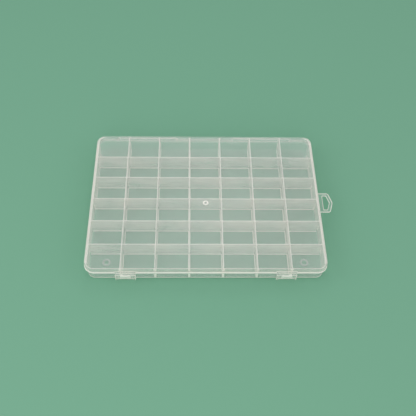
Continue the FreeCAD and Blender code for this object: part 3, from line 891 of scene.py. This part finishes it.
# width of the strip on the lid's top, along the left and right, that is painted bright with the rim's finish
LID_PAINTED_BORDER = 1.7 * MM

lid_low, lid_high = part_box("lid_shell")
bead_top = lid_low.z + BEAD_HEIGHT
lid_inside = lid_high.z - LID_PANEL
lid = rounded_slab("lid_moulding", lid_low, lid_high, CORNER_RADIUS + BEAD_PROUD, lid_low.z, bead_top)
dress(lid, lid_clear, edge_milk_painted_glow, lid_rim_milk_and_painted_light, side_milk_and_painted_light)
step(level_face(bead_top, 1), BEAD_PROUD, lid_high.z - bead_top)
step(level_face(lid_low.z, -1), BEAD_PROUD + LID_SKIRT, lid_inside - lid_low.z)
round_off(level_edge(lid_high.z), LID_RADIUS, LID_STEPS, MILKY)
round_off(level_edge(lid_inside), INNER_RADIUS, INNER_STEPS)
pick("FACE", level_face(lid_high.z, 1))
bpy.ops.mesh.inset(thickness=LID_PAINTED_BORDER)
print("lid cap:", len(bmesh.from_edit_mesh(lid.data).faces), "faces")

# %% [markdown]
# The rounding along the left and the right, together with a narrow border of the top, gets the rim's milky finish,
# which paints a bright outline there. At the back, and in front with its corners, it gets only the side's fainter
# finish. So does the skirt, apart from the back, which stays clear and so is painted fainter than the other sides.

# %% Lid, slots
BACK_ZONE = 2 * LID_RADIUS
FRONT_ZONE = 0.75 * CORNER_RADIUS


def side_painted_border(f):
    return level_face(lid_high.z, 1)(f) and abs(centre(f).x) > lid_high.x - CORNER_RADIUS


def front_or_back_rounding(f):
    y = centre(f).y
    return f.material_index == MILKY and (y > lid_high.y - BACK_ZONE or y < FRONT_ZONE - lid_high.y)


def back_skirt(f):
    return abs(f.normal.y) > FLAT and centre(f).y > lid_high.y - BACK_ZONE


borders = paint(MILKY, side_painted_border)
faint = paint(SIDE, front_or_back_rounding)
paint(SIDE, lambda f: abs(f.normal.z) < STEEP and centre(f).z > bead_top)
# the back skirt stays clear, so it is painted fainter than the other sides
paint(PANEL, back_skirt)
face_out()
close()
print("lid slots:", borders, "border faces,", faint, "faint faces in the rounding")

# %% [markdown]
# Two long windows in the back skirt let the hinges through, and two notches in front take the latches. Cutting faces
# by hand would take many steps. A block is cut out from below instead, and because its edges are rounded first, the
# corners of the cuts are round too.

# %% Lid, windows and notches
WINDOW_LENGTH = 76 * MM
WINDOW_HEIGHT = 4 * MM
LATCH_WIDTH = 23.6 * MM
NOTCH_WIDTH = LATCH_WIDTH + 0.6 * MM
NOTCH_HEIGHT = 2.0 * MM
CUT_DEPTH = 4 * MM
CUT_BELOW = 2 * MM
CUT_ROUND, CUT_STEPS = 0.5 * MM, 3

hook_low, hook_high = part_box("right_hinge_hook")
latch_low, latch_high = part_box("right_latch")
hinge_x = (hook_low.x + hook_high.x) / 2
latch_x = (latch_low.x + latch_high.x) / 2
skirt_y = lid_high.y - BEAD_PROUD


def slot_tool(x, y, width, height):
    """A block that cuts through the skirt, from below its edge to a height above it."""
    tool = begin(
        "slot_tool", bpy.ops.mesh.primitive_cube_add,
        (x, y, lid_low.z + (height - CUT_BELOW) / 2), (width, CUT_DEPTH, height + CUT_BELOW), size=1,
    )
    round_off(lambda e: abs(e.verts[0].co.y - e.verts[1].co.y) > 0.5 * CUT_DEPTH, CUT_ROUND, CUT_STEPS)
    close()
    coat(tool, lid.data.materials, EDGE)
    return tool


for side in (-1, 1):
    combine(lid, slot_tool(side * hinge_x, skirt_y, WINDOW_LENGTH, WINDOW_HEIGHT))
    combine(lid, slot_tool(side * latch_x, -skirt_y, NOTCH_WIDTH, NOTCH_HEIGHT))
print("windows at", round(hinge_x / MM, 1), "mm and notches at", round(latch_x / MM, 1), "mm from the middle")

# %% [markdown]
# The outline of each window shows as a bright line through the lid. A bevel would be too thin for it, so the back
# skirt is cut round the windows, and the strips beside and above them get the edge's finish as a painted bright
# frame. The bead's outer face gets the rim's milky finish, which paints its line brighter, before the lid's edges
# are softened.

# %% Lid, bright frames and bead
FRAME_ABOVE = 0.7 * MM
FRAME_BESIDE = 1.3 * MM
LID_SOFT = 0.35 * MM
frame_top = lid_low.z + WINDOW_HEIGHT + FRAME_ABOVE
frame_half = WINDOW_LENGTH / 2 + FRAME_BESIDE


def by_windows(f):
    """The faces of the back skirt, on both of its sides."""
    return abs(f.normal.y) > FLAT and centre(f).y > skirt_y - 2 * LID_SKIRT


def painted_frame(f):
    beside = abs(abs(centre(f).x) - hinge_x) < frame_half
    return by_windows(f) and beside and max(v.co.z for v in f.verts) < frame_top + NEAR


def bead_face(f):
    middle = centre(f)
    to_side, to_end = lid_high.x - abs(middle.x), lid_high.y - abs(middle.y)
    outermost = min(to_side, to_end) < 0.5 * BEAD_PROUD
    facing_out = min(to_side, to_end) < CORNER_RADIUS and f.normal.dot(middle) > 0
    return abs(f.normal.z) < UPRIGHT and middle.z < bead_top and (outermost or facing_out)


reopen(lid)
for side in (-1, 1):
    for end in (-1, 1):
        cut(by_windows, (side * hinge_x + end * frame_half, 0, 0), X_WAY)
cut(by_windows, (0, 0, frame_top), Z_WAY)
painted_frame_faces = paint(EDGE, painted_frame)
bead_faces = paint(MILKY, bead_face)
close()
soften(lid, LID_SOFT)
print("lid:", painted_frame_faces, "faces frame the windows,", bead_faces, "lie on the bead")

# %% [markdown]
# Small holes in the ends of the bead take the latches' pivot pins, with a little play. A ring near the middle of
# the top is the mark of the gate where the melt came in; it is a groove like the ones under the tray, and bright.

# %% Lid, pivot holes and gate mark
BARREL_Y = -99.35 * MM
BARREL_Z = 16.9 * MM
PIN_RADIUS = 0.5 * MM
PIN_PLAY = 0.08 * MM
PIN_END_GAP = 0.2 * MM
PIN_STEPS = 24
PIN_ROUND, PIN_ROUND_STEPS = 0.3, 2
ROD_END = math.radians(60)
GATE_PLACE = (0, -7.5 * MM, lid_high.z)
GATE_RADIUS = 2.5 * MM
GATE_TUBE = 1.0 * MM
pin_span = latch_high.x - latch_low.x


def pivot_rod(piece, name, x, radius, length):
    """A slim rod with rounded ends along a latch's axis: a hole's shape, or the pins at both ends."""
    rod = begin(
        name, bpy.ops.mesh.primitive_cylinder_add, (x, BARREL_Y, BARREL_Z), turn=(0, math.pi / 2, 0),
        radius=radius, depth=length, vertices=PIN_STEPS,
    )
    round_off(lambda e: e.calc_face_angle(0) > ROD_END, PIN_ROUND * radius, PIN_ROUND_STEPS)
    close()
    coat(rod, piece.data.materials, PANEL)
    return rod


for side in (-1, 1):
    hole = pivot_rod(lid, "pivot_hole", side * latch_x, PIN_RADIUS + PIN_PLAY, pin_span + 2 * PIN_END_GAP)
    combine(lid, hole)
combine(lid, ring_tool("gate_tool", GATE_PLACE, GATE_RADIUS, GATE_TUBE, lid.data.materials, EDGE))
clean(lid)
finish(lid, "lid", "lid_plastic", "lid_shell")

# %% [markdown]
# ## The latches
# Each latch is a flap that hangs from a rounded barrel in line with the lid's bead. The flap starts as a block
# whose edges are rounded first, while it is plain. Its top face is then pulled to the barrel as a slanted neck,
# widened again to the full width, pulled up once more, and its upper edges rounded to the barrel.

# %% Latch, blank
FLAP_FRONT, FLAP_BACK = -102.6 * MM, -100.4 * MM
FLAP_FOOT, FLAP_TOP = 4.5 * MM, 15.0 * MM
FLAP_ROUND, FLAP_STEPS = 0.45 * MM, 2
BARREL_RADIUS, BARREL_STEPS = 0.8 * MM, 4
BARREL_ROUND = 0.95 * BARREL_RADIUS
NECK_END = 0.4 * MM

flap_middle = (FLAP_FRONT + FLAP_BACK) / 2
flap_depth = FLAP_BACK - FLAP_FRONT
latch = begin(
    "left_latch_flap", bpy.ops.mesh.primitive_cube_add, (0, flap_middle, (FLAP_FOOT + FLAP_TOP) / 2),
    (LATCH_WIDTH, flap_depth, FLAP_TOP - FLAP_FOOT), size=1,
)
dress(latch, latch_clear, edge_milk_painted_glow, grip_painted_highlight)
bpy.ops.mesh.bevel(offset=FLAP_ROUND, segments=FLAP_STEPS, affect="EDGES", material=EDGE)
pick("FACE", level_face(FLAP_TOP, 1))
pull(y=BARREL_Y - flap_middle, z=BARREL_Z - NECK_END - FLAP_TOP)
widen = LATCH_WIDTH / (LATCH_WIDTH - 2 * FLAP_ROUND)
narrow = 2 * BARREL_RADIUS / (flap_depth - 2 * FLAP_ROUND)
bpy.ops.transform.resize(value=(widen, narrow, 1), center_override=(0, BARREL_Y, BARREL_Z))
pick("FACE", lambda f: f.normal.z > FLAT and centre(f).z > FLAP_TOP)
pull(z=BARREL_RADIUS + NECK_END)


def barrel_edge(e):
    a, b = (v.co for v in e.verts)
    return min(a.z, b.z) > BARREL_Z + 0.5 * BARREL_RADIUS and abs(a.x - b.x) > LATCH_WIDTH / 2


round_off(barrel_edge, BARREL_ROUND, BARREL_STEPS)
paint(PANEL, lambda f: centre(f).z > FLAP_TOP + NEAR)
close()
print("latch blank:", len(latch.data.polygons), "faces")

# %% [markdown]
# On its inner face the flap has a catch, a ridge that snaps under the tray's flange. Four cuts mark out its root,
# which is pulled out and pinched towards its top, so that it slides on easily and holds.

# %% Latch, catch
CATCH_HALF = 7 * MM
CATCH_LOW, CATCH_HIGH = 12.4 * MM, 14.0 * MM
CATCH_OUT = 0.65 * MM
CATCH_PINCH = (0.96, 1, 0.3)
PINCH_BELOW = 0.5 * MM


def inner_face(f):
    return f.normal.y > FLAT and abs(centre(f).y - FLAP_BACK) < NEAR


def catch_root(f):
    middle = centre(f)
    return inner_face(f) and abs(middle.x) < CATCH_HALF and CATCH_LOW < middle.z < CATCH_HIGH


reopen(latch)
for x in (-CATCH_HALF, CATCH_HALF):
    cut(inner_face, (x, 0, 0), X_WAY)
for z in (CATCH_LOW, CATCH_HIGH):
    cut(inner_face, (0, 0, z), Z_WAY)
roots = pick("FACE", catch_root)
pull(y=CATCH_OUT)
bpy.ops.transform.resize(value=CATCH_PINCH, center_override=(0, FLAP_BACK, CATCH_HIGH - PINCH_BELOW))
close()
print("latch:", roots, "face pulled out as the catch")

# %% [markdown]
# Two round scoops in the flap's face leave a waisted grip bar between them, like a bow tie, a little above the
# flap's middle. Wide cones cut them with slanted sides, as a mould would. The sides of the scoops get the edge
# finish's painted glow, and the bar's waist gets a milky finish of its own: a painted highlight where the bar
# reflects the light.

# %% Latch, grip
GRIP_Z = 11.8 * MM
GRIP_HALF = 1.5 * MM
GRIP_REACH = 6.3 * MM
SCOOP_RADIUS = 13 * MM
SCOOP_DEPTH = 1.0 * MM
SCOOP_STEPS = 96


def on_grip(f):
    return f.normal.y < -FLAT and abs(centre(f).y - FLAP_FRONT) < NEAR


for way in (-1, 1):
    scoop = begin(
        "scoop_tool", bpy.ops.mesh.primitive_cone_add,
        (0, FLAP_FRONT, GRIP_Z + way * (GRIP_HALF + SCOOP_RADIUS)), turn=(math.pi / 2, 0, 0),
        radius1=SCOOP_RADIUS - SCOOP_DEPTH, radius2=SCOOP_RADIUS + SCOOP_DEPTH, depth=2 * SCOOP_DEPTH,
        vertices=SCOOP_STEPS,
    )
    close()
    dress(scoop, *latch.data.materials)
    for face in scoop.data.polygons:
        face.material_index = EDGE if abs(face.normal.y) < FLAT else PANEL
    combine(latch, scoop)
reopen(latch)
for x in (-GRIP_REACH, GRIP_REACH):
    cut(on_grip, (x, 0, 0), X_WAY)
# the grip's waist gets a painted highlight
waist = paint(MILKY, lambda f: on_grip(f) and abs(centre(f).x) < GRIP_REACH)
close()
print("latch:", waist, "face on the grip's waist,", len(latch.data.polygons), "faces in all")

# %% [markdown]
# The pivot pins are one slim rod that is joined on and stands out at both ends of the barrel. Up to here the latch
# lay in the middle of the box. Now it is copied, the copy gets a mesh of its own, and both are put in their places.

# %% Latches, both sides
def pair(piece, right_name, x):
    """Copies a left piece for the right side, and puts both places into the meshes."""
    only(piece)
    bpy.ops.object.duplicate(linked=False)
    copy = bpy.context.object
    copy.name = copy.data.name = right_name
    for part, side in ((piece, -1), (copy, 1)):
        only(part)
        part.location.x = side * x
        settle()
    return copy


combine(latch, pivot_rod(latch, "pivot_pins", 0, PIN_RADIUS, pin_span), "UNION")
clean(latch)
right_latch = pair(latch, "right_latch_flap", latch_x)
finish(latch, "left_latch", "latch_plastic", "left_latch")
finish(right_latch, "right_latch", "latch_plastic", "right_latch")

# %% [markdown]
# ## The hinges
# The lid has two long hooks behind its windows that snap over two round bars on the tray. A hook is a ring with an
# open mouth: one strip, as wide as the ring's wall, is spun round the hinge's line from lip to lip, which keeps
# the wall even all the way.

# %% Hinge hooks, ring
HINGE_Y = 102.5 * MM
HINGE_Z = 14.9 * MM
HOOK_BORE = 1.48 * MM
HOOK_RADIUS = 2.58 * MM
HOOK_STEPS = 26
LOWER_LIP, UPPER_LIP = math.radians(-104), math.radians(163)
hook_length = hook_high.x - hook_low.x


def round_hinge(radius, angle):
    """The place at a radius from the hinge's line, at an angle up from the way to the back."""
    return HINGE_Y + radius * math.cos(angle), HINGE_Z + radius * math.sin(angle)


lip_y, lip_z = round_hinge((HOOK_BORE + HOOK_RADIUS) / 2, LOWER_LIP)
hook = begin(
    "left_lid_hook", bpy.ops.mesh.primitive_plane_add, (0, lip_y, lip_z),
    (hook_length, HOOK_RADIUS - HOOK_BORE, 1), turn=(LOWER_LIP, 0, 0), size=1,
)
dress(hook, hinge_clear, hinge_edge)
bpy.ops.mesh.spin(steps=HOOK_STEPS, angle=LOWER_LIP - UPPER_LIP, center=(0, HINGE_Y, HINGE_Z), axis=X_WAY)
face_out()
close()
print("hook ring:", [tuple(round(c / MM, 2) for c in corner) for corner in (hook.bound_box[0], hook.bound_box[6])])

# %% [markdown]
# A leaf joins the hook to the skirt above the window. It is a block whose far corners are moved onto the outside of
# the ring, the upper ones towards its back and the lower ones towards its front, and it is joined on with a boolean.

# %% Hinge hooks, leaf
LEAF_FOOT, LEAF_TOP = 20.0 * MM, 21.6 * MM
LEAF_INNER, LEAF_OUTER = math.radians(122), math.radians(42)
HINGE_SOFT = 0.15 * MM

leaf = begin(
    "leaf_block", bpy.ops.mesh.primitive_cube_add, (0, (skirt_y + HINGE_Y) / 2, (LEAF_FOOT + LEAF_TOP) / 2),
    (hook_length, HINGE_Y - skirt_y, LEAF_TOP - LEAF_FOOT), size=1,
)
dress(leaf, hinge_clear, hinge_edge)
for height, angle in ((LEAF_TOP, LEAF_OUTER), (LEAF_FOOT, LEAF_INNER)):
    pick("VERT", lambda v: abs(v.co.y - HINGE_Y) < NEAR and abs(v.co.z - height) < NEAR)
    end_y, end_z = round_hinge(HOOK_RADIUS, angle)
    move(y=end_y - HINGE_Y, z=end_z - height)
close()
combine(hook, leaf, "UNION")
soften(hook, HINGE_SOFT)
clean(hook)

# %% [markdown]
# Each bar is a round rod, held off the tray's back wall by a lug at either end. A lug is a short disc round the rod
# and a block under the flange whose foot reaches down the wall, which makes it stiff. One lug is made, copied to
# the other end, and both are joined to the rod before its edges are rounded.

# %% Hinge bars
BAR_RADIUS = 1.4 * MM
BAR_STEPS = 40
BAR_INSIDE = 0.2 * MM
LUG_RADIUS = 2.0 * MM
LUG_THICK = 2.2 * MM
LUG_ROOT = 97.65 * MM
LUG_TOP = 15.5 * MM
LUG_FOOT = 9.9 * MM

bar_low, bar_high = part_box("right_hinge_bar")
bar_length = bar_high.x - bar_low.x
lug_x = (bar_length - LUG_THICK) / 2
lug_low = HINGE_Z - LUG_RADIUS


def cross_rod(name, x, radius, length):
    """A round rod along the hinge's line."""
    rod = begin(
        name, bpy.ops.mesh.primitive_cylinder_add, (x, HINGE_Y, HINGE_Z), turn=(0, math.pi / 2, 0),
        radius=radius, depth=length, vertices=BAR_STEPS,
    )
    close()
    dress(rod, hinge_clear, hinge_edge)
    return rod


bar = cross_rod("left_tray_bar", 0, BAR_RADIUS, bar_length - BAR_INSIDE)
lug = cross_rod("lug_disc", -lug_x, LUG_RADIUS, LUG_THICK)
web = begin(
    "lug_web", bpy.ops.mesh.primitive_cube_add, (-lug_x, (LUG_ROOT + HINGE_Y) / 2, (lug_low + LUG_TOP) / 2),
    (LUG_THICK, HINGE_Y - LUG_ROOT, LUG_TOP - lug_low), size=1,
)
dress(web, hinge_clear, hinge_edge)
pick("VERT", lambda v: v.co.y < LUG_ROOT + NEAR and v.co.z < lug_low + NEAR)
move(z=LUG_FOOT - lug_low)
close()
combine(lug, web, "UNION")
only(lug)
bpy.ops.object.duplicate(linked=False)
far_lug = bpy.context.object
far_lug.location.x = 2 * lug_x
combine(bar, lug, "UNION")
combine(bar, far_lug, "UNION")
soften(bar, HINGE_SOFT)
clean(bar)

# %% [markdown]
# The left hook and bar are copied to the right in the same way as the latch. The hooks ride on the lid and the bars
# on the tray, so the lid turns round the bars when it opens.

# %% Hinges, both sides
right_hook = pair(hook, "right_lid_hook", hinge_x)
finish(hook, "lid", "lid_plastic", "left_hinge_hook")
finish(right_hook, "lid", "lid_plastic", "right_hinge_hook")
right_bar = pair(bar, "right_tray_bar", hinge_x)
finish(bar, "tray", "tray_plastic", "left_hinge_bar")
finish(right_bar, "tray", "tray_plastic", "right_hinge_bar")
